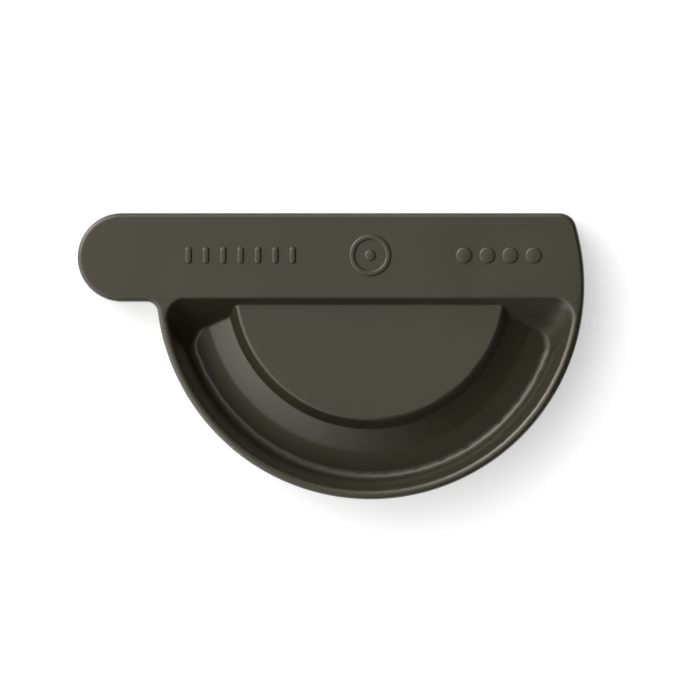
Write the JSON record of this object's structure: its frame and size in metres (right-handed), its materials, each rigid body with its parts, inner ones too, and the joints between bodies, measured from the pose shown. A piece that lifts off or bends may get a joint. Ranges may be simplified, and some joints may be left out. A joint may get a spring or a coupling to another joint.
{
  "type": "gutter end cap",
  "caption": "Deep-drawn sheet cap that closes the end of a half-round gutter, with a turned-back flange, a bead cover and a half-round recess round a raised middle panel.",
  "frame": {"origin": "on the axis of the gutter's trough, in the plane of the flange's back edge, on which the cap rests face up", "axes": "+Z out of the visible face, away from the gutter; +X along the straight top edge, away from the bead cover; +Y up in use"},
  "size_m": [0.0994, 0.0562, 0.011],
  "materials": {
    "coated_sheet": "glossy dark olive-brown coil coat with a faint orange peel"
  },
  "bodies": {
    "root": {"end_cap": "coated_sheet"}
  },
  "joints": []
}
